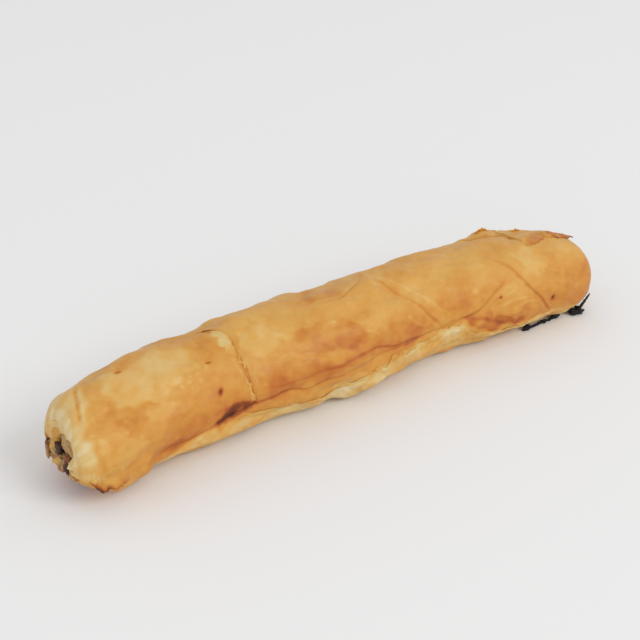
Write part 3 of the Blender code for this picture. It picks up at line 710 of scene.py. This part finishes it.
# The points stand closer together on the front and the top, where the seam and the folds are.
N_AROUND, N_LENGTH, N_DOME = 220, 344, 22
weight = (1 + 1.5 * np.exp(-((np.arange(360) - 95) / 14.0) ** 2) + 0.8 * (np.arange(360) < 130)
          + 0.8 * (np.arange(360) > 320))
total = np.concatenate([[0], np.cumsum(weight)])
turn = np.interp(np.arange(N_AROUND) / N_AROUND * total[-1], total, np.arange(361))
dome = np.sin(np.linspace(0, math.pi / 2, N_DOME + 1))[1:]
places = np.concatenate([NEAR_END["start"] + (NEAR_END["stop"] - NEAR_END["start"]) * dome[::-1],
                         np.linspace(NEAR_END["start"], FAR_END["start"], N_LENGTH),
                         FAR_END["start"] + (FAR_END["stop"] - FAR_END["start"]) * dome])
grid_x, grid_turn = np.meshgrid(places, turn, indexing="ij")
outside = skin(grid_x, grid_turn)
outside[0, :, 0] += rim_wave(turn, 0.2) + 0.35 * cloud(turn * 0 - 125, turn, 8, 38)
far_lip = far_rows(outside[-1], turn)
near_lip = near_rows(outside[0], turn)
bore = [bore_ring(x, turn) for x in (NEAR_MOUTH["x"],) + BORE_STEPS + (FAR_MOUTH["x"],)]
rows = list(outside) + far_lip + bore[::-1] + near_lip[::-1]
bake_and_shade_rows = list(baked(grid_x, grid_turn))
oil_rows = list(oiled(grid_x, grid_turn))
for k in range(len(far_lip)):
    bake_and_shade_rows.append(0.45 - 0.2 * k / len(far_lip) + 0.06 * cloud(turn * 0 + k, turn, 7, 33))
bake_and_shade_rows += [np.full(N_AROUND, 0.3)] * len(bore)
# The lip rows take their baking and painted shade from the lip table. The pocket rows beyond the lip are
# painted darker still, as shade inside the pocket.
for k in range(len(near_lip))[::-1]:
    bake_and_shade_rows.append(read(LIP_BAKE_AND_SHADE, turn) + 0.05 * np.tanh(2 * cloud(turn * 0 + k, turn, 5, 34))
                     + 0.18 * ease((k - N_LIP) / 3))
oil_rows += [np.full(N_AROUND, 0.3)] * (len(rows) - len(oil_rows))
roll = build("pastry_roll", np.array(rows), band_faces(len(rows), N_AROUND, True), np.array(bake_and_shade_rows),
             np.array(oil_rows), dough)
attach(roll, "root")
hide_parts("pastry")

# The sheet on top near the far end has dried, torn and lifted off the roll: a flap with a
# ragged front edge, a browned tongue that lies on the skin, and a forked tip that points past
# the end of the roll.
def grid(u, turns):
    """Places on the skin: rows along the roll, each with its own turns."""
    return np.stack([np.broadcast_to(u[:, None], turns.shape), turns], -1)


def leaf(name, places, lift, thick, far=FAR_END, extra=0.0):
    """A thin sheet over the skin: a grid of places, with the height of its upper side."""
    lift = np.broadcast_to(lift, places.shape[:2])
    thick = np.broadcast_to(thick, places.shape[:2])
    high = skin(places[..., 0], places[..., 1], lift, far)
    low = skin(places[..., 0], places[..., 1], lift - thick, far)
    count_u, count_v = places.shape[:2]
    upper = count_u * count_v
    faces = []
    for i in range(count_u - 1):
        for j in range(count_v - 1):
            a, b = i * count_v + j, (i + 1) * count_v + j
            faces.append((a, a + 1, b + 1, b))
            faces.append((a + upper, b + upper, b + upper + 1, a + upper + 1))
    edge = ([i * count_v for i in range(count_u)] + [(count_u - 1) * count_v + j for j in range(1, count_v)]
            + [i * count_v + count_v - 1 for i in range(count_u - 2, -1, -1)]
            + list(range(count_v - 2, 0, -1)))
    for a, b in zip(edge, edge[1:] + edge[:1]):
        faces.append((a, b, b + upper, a + upper))
    bake = np.clip(baked(places[..., 0], places[..., 1]) + extra, 0.02, 1)
    oil = oiled(places[..., 0], places[..., 1])
    item = build(name, np.concatenate([low.reshape(-1, 3), high.reshape(-1, 3)]), faces,
                 np.tile(bake.ravel(), 2), np.tile(oil.ravel(), 2), dough)
    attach(item, "root")


back = ((73, -58), (78, -64), (84, -74), (95, -74), (110, -66), (119, -46), (124, -27), (127, -9))
front = (
    (73, -50), (78, -40), (80.6, -33), (83.3, -29.5), (90.3, -25), (94, -22), (94.7, -8), (95, 8),
    (95.2, 19), (97, 20.5), (98.8, 19), (102.5, 18), (106.5, 12), (109, 8.5), (114, 12), (118.2, 11.5),
    (122, 11), (123.5, 4), (124.5, 7), (127, 2),
)
u = np.linspace(73, 127, 132)
v = np.linspace(0, 1, 34)
us = u[:, None] + 0 * v
turns = read(back, u)[:, None] * (1 - v) + (read(front, u) + 0.5 * cloud(u, u * 0, 3, 41))[:, None] * v
high = read(((73, 0.1), (77, 0.5), (81, 1.2), (85, 1.9), (89, 2.5), (93, 3.1), (96, 3.5), (100, 3.5),
             (104, 3.0), (110, 1.7), (114, 0.3), (118, -1.2), (122, -2.0), (127, -3.8)), u)[:, None]
low_edge = read(((73, 0.9), (80, 0.3), (93, 0.2), (96, 0.5), (108, 0.5), (112, 0.3), (120, 0.0)),
                u)[:, None]
stands = (ease((turns - read(back, u)[:, None]) / 26) * (1 - 0.78 * ease((turns + 40) / 20))
          * (1 - low_edge * ease((v - 0.8) / 0.2)))
tall = high * np.where(high < 0, 1, stands)
tall = tall + (0.08 * np.sin(u / 3.1)[:, None] + 0.12 * cloud(u, u * 0, 9, 42)[:, None]) * v
tall = tall + 0.14 * np.abs(cloud(us, turns, 7, 44)) + 0.06 * cloud(us, turns, 3, 45)
# A dent beside the tongue: it sinks the flap, and the same mask paints it darker as shade.
dent_and_shade = patch(us, turns, ((94.0, 20), (98, 8), (106, -7), (110.5, -2), (108, 12), (100, 22)), 0.8)
dent_and_shade = dent_and_shade + 0.7 * stroke(us, turns, ((113.5, -2), (110, 6)), 0.7)
tall = tall - 0.45 * dent_and_shade
tall = np.where(us < 108, np.maximum(tall, 0.22), tall)
root = np.where(((v < 0.35) & (us < 112)) | (us < 95.6), tall + 1.0, 0.45)
# Paler overall, with painted shade in the dent, a browned torn edge and a browned tip.
extra = (-0.04 + 0.09 * ease((v - 0.96) / 0.04) + 0.18 * dent_and_shade
         + 0.32 * ease((us - 110) / 4) * (0.4 + 0.6 * v))
leaf("top_flake", grid(u, turns), tall, root, OPEN_END, extra)

# Two small scraps of the same sheet stand up behind the flap, on the ridge. They are baked
# fast to it, and their upper edges are torn.
for name, start, stop, at_turn, stands in (("ridge_scrap_a", 85.5, 91.5, -38, 1.2),
                                           ("ridge_scrap_b", 100.5, 107.0, -36, 0.9)):
    u = np.linspace(start, stop, 20)
    v = np.linspace(0, 1, 8)
    jag = ((0.6 + 0.4 * np.abs(cloud(u, u * 0, 2.5, 43))) * ease((u - start) / 1.5)
           * ease((stop - u) / 1.5))
    places = np.stack(np.broadcast_arrays(u[:, None], at_turn + 3.0 * v + 0 * u[:, None]), -1)
    leaf(name, places, 2.5 + stands * jag[:, None] * v, 0.5, OPEN_END, 0.05)

# The lap: the outer sheet of the far half ends in a thin torn edge over the near half, and
# a paler scrap of the sheet below sticks out from under it along the upper front.
turns = np.linspace(-14, 92, 140)
edge_x = lap_line(turns)
v = np.linspace(0, 1, 16)
reach = read(((-14, -0.3), (-6, -0.9), (-1, -1.1), (6, -0.4), (30, -0.4), (40, -0.7), (60, -0.9),
              (80, -0.5), (92, -0.3)), turns)
reach = reach + 0.3 * cloud(turns * 0, turns, 5, 51) + 0.15 * cloud(turns * 0, turns, 1.8, 52)
past = reach[:, None] * v + 5.0 * (1 - v)
over = (LAP_STEP * (1 - ease((past + 0.5) / 0.9) * np.exp(-np.maximum(past, 0) / 35))
        + 0.2 * hump(past, -1.0, 0.9))
ends = ease((turns + 14) / 10) * ease((92 - turns) / 5)
curl = 0.02 + 0.45 * hump(turns, -2, 4) + 0.08 * hump(turns, 60, 12)
lift = (-0.45 + 0.53 * ease(v * 1.6) + over * ease(v * 2) - 0.45 * v ** 4
        + curl[:, None] * ease((v - 0.6) / 0.4))
lift = lift * ends[:, None] - 0.6 * (1 - ends[:, None])
places = np.stack([edge_x[:, None] + past, np.broadcast_to(turns[:, None], past.shape)], -1)
leaf("lap_edge", places, lift, 0.22, extra=0.08 * ease((v - 0.9) / 0.1))

turns = np.linspace(-4, 93, 150)
edge_x = lap_line(turns)
out_by = read(((-4, 0.4), (3, 3.0), (9, 5.0), (20, 6.2), (30, 5.8), (37, 3.4), (44, 1.8), (56, 1.9),
               (66, 2.0), (80, 2.2), (88, 1.6), (93, 0.5)), turns)
out_by = out_by + 0.6 * cloud(turns * 0, turns, 5, 53) + 0.35 * cloud(turns * 0, turns, 1.8, 54)
v = np.linspace(0, 1, 22)
past = -np.maximum(out_by, 0.3)[:, None] * v + 1.0 * (1 - v)
around = np.broadcast_to(turns[:, None], past.shape)
over = LAP_STEP * ease((past + 0.5) / 0.9)
lift = (0.15 - 0.25 * v ** 4 - over + 0.2 * hump(past, -1.0, 0.9) + 0.07 * cloud(past, around, 3, 55)
        + 0.1 * np.abs(cloud(past, around, 5, 56)))
blotch = 0.05 * np.tanh(2.5 * cloud(edge_x[:, None] + past, around, 4.5, 57))
white = read(((-4, -0.08), (6, -0.16), (14, -0.27), (28, -0.25), (36, -0.06), (48, -0.02), (62, -0.05),
              (75, -0.13), (88, -0.1), (93, -0.04)), turns)[:, None]
leaf("lap_scrap", np.stack([edge_x[:, None] + past, around], -1), lift, 0.25,
     extra=(white + blotch) * (1 - 0.5 * ease((v - 0.8) / 0.2)))

# Under the near end the outer sheet is torn: a browned ragged hem, and a tip that hangs to
# the table.
u = np.linspace(-123.5, -106, 90)
v = np.linspace(0, 1, 14)
low = read(((-123.5, 108), (-121.5, 114), (-119.5, 115), (-117, 114), (-112, 113), (-106, 115)), u)
low = (low + 15 * np.exp(-(np.abs(u + 118.2) / 2.2) ** 3) + 1.4 * cloud(u, u * 0, 3.2, 58)
       + 0.8 * cloud(u, u * 0, 1.3, 59))
turns = 88 * (1 - v) + low[:, None] * v
ends = ease((u + 123.5) / 3) * ease((-106 - u) / 4)
tip = hump(u[:, None], -118.2, 2.6)
crumple = (0.15 + 0.3 * tip) * cloud(u[:, None] + 0 * v, turns, 4, 60)
lift = -0.3 + (0.3 + 0.85 * ease(v * 1.1) + crumple) * ends[:, None]
extra = ((0.1 + 0.42 * tip) * ease((v - 0.5) / 0.4)
         + (0.16 + 0.16 * ease((-115.5 - u[:, None]) / 3)) * ease((v - 0.84) / 0.14))
leaf("torn_hem", grid(u, turns), lift, 0.3, extra=extra)

# The pale sheet under the seam is the end of the dough that was tucked in below. Torn scraps
# of it stand off along the foot of the roll, with thin ragged upper edges.
for name, start, stop, rise, fall, seed, pale in (
        ("band_scrap_a", -62, -6, 1.0, 12, 61, -0.1),
        ("band_scrap_b", -14, 24, -1.0, 11, 62, -0.09),
        ("band_scrap_c", 16, 62, 2.0, 12, 63, -0.05),
        ("band_scrap_d", 52, 108, 3.0, 9, 64, -0.05)):
    u = np.linspace(start, stop, int((stop - start) * 2.2))
    v = np.linspace(0, 1, 12)
    taper = ease((u - start) / 6) * ease((stop - u) / 6)
    upper = read(BAND_TOP, u) + rise + 1.6 * cloud(u, u * 0, 7, seed) + 0.5 * cloud(u, u * 0, 2.2, seed + 10)
    turns = (upper[:, None] + fall * (1 - v)) * np.ones((len(u), 1))
    rise_off = (0.55 + 0.12 * cloud(u, u * 0, 4, seed + 20))[:, None]
    lift = -0.25 + rise_off * ease(v * 1.6) * taper[:, None]
    extra = pale * ease((v - 0.5) / 0.5) - 0.06 * ease((v - 0.93) / 0.07)
    leaf(name, grid(u, turns), lift, 0.22, extra=extra)

# The beef: minced meat browned with onion, packed through the roll. A rough dark chunk and
# a trail of crumbs show in the near mouth, and a little shows in the far one.
def lumps(places, seed, rough):
    """Points, faces and browning of rough lumps: each has a centre, half sizes and its browning."""
    points, faces, browning, start = [], [], [], 0
    ball = bmesh.new()
    bmesh.ops.create_icosphere(ball, subdivisions=4, radius=1.0)
    unit = np.array([v.co[:] for v in ball.verts])
    around = [tuple(v.index for v in f.verts) for f in ball.faces]
    ball.free()
    for i, (centre, size, brown) in enumerate(places):
        rng = np.random.default_rng(seed + i)
        swell = np.ones(len(unit))
        for reach, much in ((2.4, rough), (5.5, rough * 0.55), (12.0, rough * 0.3)):
            for _ in range(6):
                swell += much / 3 * np.sin(unit @ (rng.normal(size=3) * reach) + rng.uniform(0, 6.28))
        points.append(np.array(centre) + unit * swell[:, None] * np.array(size))
        faces += [tuple(start + k for k in f) for f in around]
        browning.append(np.full(len(unit), brown))
        start += len(unit)
    return np.concatenate(points), faces, np.concatenate(browning)


BEEF_COLOURS = ((0.12, (40, 22, 18)), (0.36, (92, 54, 36)), (0.62, (150, 88, 46)), (0.86, (186, 140, 96)),
                (1.0, (200, 164, 96)))
beef, shader, node, ramp, link = start_material("browned_beef")
grain = node("TexNoise", Scale=700.0, Detail=5.0).outputs["Fac"]
kind = node("Attribute", attribute_name="bake").outputs["Fac"]
link(ramp(maths("MULTIPLY_ADD", grain, 0.5, kind), BEEF_COLOURS), shader.inputs["Base Color"])
pore = node("Bump", Strength=0.6, Distance=0.0006, Height=grain)
link(pore.outputs["Normal"], shader.inputs["Normal"])
shader.inputs["Roughness"].default_value = 0.5

N_CORE = 48
core_turn = np.arange(N_CORE) * 360 / N_CORE
core_rows = [bore_ring(x, core_turn, 0.6) for x in (-121.8,) + BORE_STEPS + (122.5,)]
core_points = np.concatenate(core_rows + [[core_rows[0].mean(axis=0) - [1.0, 0, 0]],
                                          [core_rows[-1].mean(axis=0) + [0.8, 0, 0]]])
core_faces = band_faces(len(core_rows), N_CORE, False)
last = len(core_rows) * N_CORE
for k in range(N_CORE):
    core_faces.append((last, (k + 1) % N_CORE, k))
    core_faces.append((last + 1, last - N_CORE + k, last - N_CORE + (k + 1) % N_CORE))

# Crumbs in the near mouth, from its centre: place, half sizes, and how pale. The tan lumps deepest
# in the mouth fill the pocket; their tan is partly the crumbs' own colour, partly painted shade.
y, z = float(along(-125, 2)), float(middle(-125) - SINK)
near_bits = (
    ((-124.5, 4.5, -0.4), (1.3, 2.3, 2.0), 0.0), ((-124.7, 5.6, 0.7), (0.9, 1.1, 1.2), 0.05),
    ((-124.9, 3.4, -1.3), (0.9, 1.2, 1.1), 0.06), ((-123.8, -3.0, 2.4), (1.2, 3.0, 3.2), 0.7),
    ((-123.6, -2.4, -1.8), (1.3, 2.3, 2.2), 0.7), ((-123.4, 0.6, 2.6), (1.2, 2.4, 1.6), 0.74),
    ((-123.9, 1.6, -3.2), (1.3, 2.2, 1.6), 0.8), ((-124.3, -5.8, 3.6), (1.0, 2.0, 2.4), 0.72),
    ((-124.4, -6.6, -0.4), (1.0, 1.7, 2.2), 0.8), ((-125.6, -5.3, 1.2), (1.0, 1.5, 1.7), 0.34),
    ((-125.7, -4.9, -0.5), (1.0, 1.2, 1.2), 0.24), ((-126.1, -5.1, -1.6), (0.9, 1.4, 1.6), 0.04),
    ((-126.4, -4.9, -3.1), (0.9, 1.4, 1.6), 0.0), ((-126.4, -5.6, -4.0), (0.8, 1.0, 0.9), 0.12),
    ((-125.2, 4.8, -3.8), (1.2, 1.7, 1.8), 0.56), ((-125.6, 3.2, -5.8), (1.1, 1.6, 1.6), 0.64),
    ((-126.0, 0.4, -6.2), (1.0, 1.6, 1.4), 0.54), ((-125.6, 1.0, -3.8), (1.0, 1.5, 1.8), 0.76),
    ((-126.0, -2.0, -4.4), (0.9, 1.3, 1.5), 0.62), ((-125.6, -2.4, -2.2), (0.9, 1.3, 1.5), 0.7),
    ((-126.2, -9.0, -4.4), (0.9, 1.5, 1.3), 0.7), ((-126.0, -7.4, -4.9), (0.9, 1.1, 1.0), 0.4),
    ((-125.2, 12.8, -0.6), (0.5, 0.55, 0.55), 0.0), ((-125.9, 11.9, -4.7), (0.5, 2.0, 3.7), 0.3),
    ((-126.5, 11.2, -4.7), (0.5, 1.5, 3.1), 0.62), ((-125.4, 8.6, -5.6), (1.0, 1.6, 1.4), 0.6),
    ((-125.3, 7.4, -3.0), (0.9, 1.5, 1.7), 0.74), ((-123.7, -0.4, 5.4), (1.2, 3.0, 2.4), 0.74),
    ((-123.8, -3.9, 5.4), (1.1, 2.4, 2.2), 0.7), ((-125.1, 2.2, -3.4), (1.0, 1.7, 1.5), 0.62),
)
near_bits = [((px, y + py, z + pz), size, brown) for (px, py, pz), size, brown in near_bits]
far_bit = ((123.7, float(along(127, 2)) - 0.4, float(middle(127) - SINK) + 0.2), (1.5, 1.7, 1.5), 0.1)
bit_points, bit_faces, bit_browning = lumps(near_bits + [far_bit], 50, 0.2)
everything = np.concatenate([core_points, bit_points])
shifted = [tuple(len(core_points) + k for k in f) for f in bit_faces]
filling = build("beef", everything, core_faces + shifted,
                np.concatenate([np.full(len(core_points), 0.1), bit_browning]),
                np.zeros(len(everything)), beef)
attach(filling, "root")
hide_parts("beef_filling")

# Burnt juice and crumbs: what ran out of the roll on the tray and charred under the front
# of the far end, a low crumbly crust and a scrap with a thin blade.
char, shader, node, ramp, link = start_material("charred_juice")
ash = node("TexNoise", Scale=900.0, Detail=4.0).outputs["Fac"]
link(ramp(ash, ((0.4, (14, 12, 12)), (0.75, (52, 46, 46)))), shader.inputs["Base Color"])
crackle = node("Bump", Strength=0.8, Distance=0.0006, Height=ash)
link(crackle.outputs["Normal"], shader.inputs["Normal"])
shader.inputs["Roughness"].default_value = 0.42


def charred(name, replaced, spots):
    """Black crumbs run together, none below the table."""
    points, faces, browning = lumps(spots, 80, 0.26)
    points[:, 2] = np.maximum(points[:, 2], 0.02)
    item = build(name, points, faces, browning, browning, char)
    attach(item, "root")
    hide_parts(replaced)


N_CRUST, N_SCRAP, N_BLADE = 60, 22, 14
rng = np.random.default_rng(7)
spots = []
for k in range(N_CRUST):
    t = k / (N_CRUST - 1)
    thick = (0.22 + 0.12 * abs(math.sin(17 * t)) + 0.95 * math.exp(-((t - 0.1) / 0.07) ** 2)
             + 0.5 * math.exp(-((t - 0.55) / 0.05) ** 2) + 0.85 * math.exp(-((t - 0.88) / 0.07) ** 2))
    spot = MIDDLE + [90.6 + 21.4 * t, -10.9 + 1.4 * t + rng.normal() * 0.3,
                     0.3 + thick * 0.8 + rng.normal() * 0.12]
    size = (0.4 + thick * 0.6, 0.3 + thick * 0.6, thick * rng.uniform(0.7, 1.1))
    spots.append((tuple(spot), size, 0.0))
charred("charred_crust", "burnt_crust", spots)

spots = []
for k in range(N_SCRAP):
    spot = MIDDLE + [rng.uniform(117.0, 122.6), rng.uniform(-13.6, -9.6), rng.uniform(0.5, 2.0)]
    spots.append((tuple(spot), tuple(rng.uniform(0.5, 1.4, 3) * [1.3, 1.0, 0.8]), 0.0))
for k in range(N_BLADE):
    t = k / (N_BLADE - 1)
    spot = MIDDLE + [121.0 + 3.7 * t, -12.0 - 2.0 * t, 1.6 + 7.4 * t]
    spots.append((tuple(spot), (0.85 - 0.5 * t, 0.5 - 0.3 * t, 1.0 - 0.3 * t), 0.0))
charred("charred_scrap", "burnt_flake", spots)

# The table: a plain pale board that the roll lies on. A wide soft lamp stands high in front of
# it to the right, a weak one low in front to the left, and the bright room is all round.
board_mesh = bpy.data.meshes.new("table")
board_mesh.from_pydata([(-3, -3, 0), (3, -3, 0), (3, 5, 0), (-3, 5, 0)], [], [(0, 1, 2, 3)])
board = bpy.data.objects.new("table", board_mesh)
bpy.context.scene.collection.objects.link(board)
board_paint, shader, node, ramp, link = start_material("pale_board")
shader.inputs["Base Color"].default_value = (0.84, 0.84, 0.84, 1)
shader.inputs["Roughness"].default_value = 0.9
shader.inputs["Specular IOR Level"].default_value = 0.1
board_mesh.materials.append(board_paint)

room = bpy.data.worlds.new("room")
room.use_nodes = True
light = room.node_tree.nodes["Background"]
light.inputs["Color"].default_value = (1, 1, 1, 1)
light.inputs["Strength"].default_value = 0.77
bpy.context.scene.world = room
for name, place, size, power in (("key", (1.0, -2.4, 2.0), 1.5, 34.0),
                                 ("fill", (-1.6, -1.8, 0.7), 1.6, 6.0)):
    lamp = bpy.data.lights.new(name, "AREA")
    lamp.size = size
    lamp.energy = power
    held = bpy.data.objects.new(name, lamp)
    held.location = place
    held.rotation_euler = (-Vector(place)).to_track_quat("-Z", "Y").to_euler()
    bpy.context.scene.collection.objects.link(held)
bpy.context.scene.view_settings.view_transform = "Standard"

# The camera stands in front of the near end and looks down along the roll, as in the photo.
# Its lens and place were fitted to the roll's outline there.
azimuth, elevation = math.radians(-33.4932), math.radians(30.0)
back = Vector((math.sin(azimuth) * math.cos(elevation), -math.cos(azimuth) * math.cos(elevation),
               math.sin(elevation)))
right = Vector((0, 0, 1)).cross(back).normalized()
view = bpy.data.cameras.new("view")
view.sensor_width = 36.0
view.lens = 84.99
camera = bpy.data.objects.new("view", view)
camera.matrix_world = Matrix((right, back.cross(right), back)).transposed().to_4x4()
camera.location = (-0.29454, -0.4332, 0.33152)
bpy.context.scene.collection.objects.link(camera)
bpy.context.scene.camera = camera
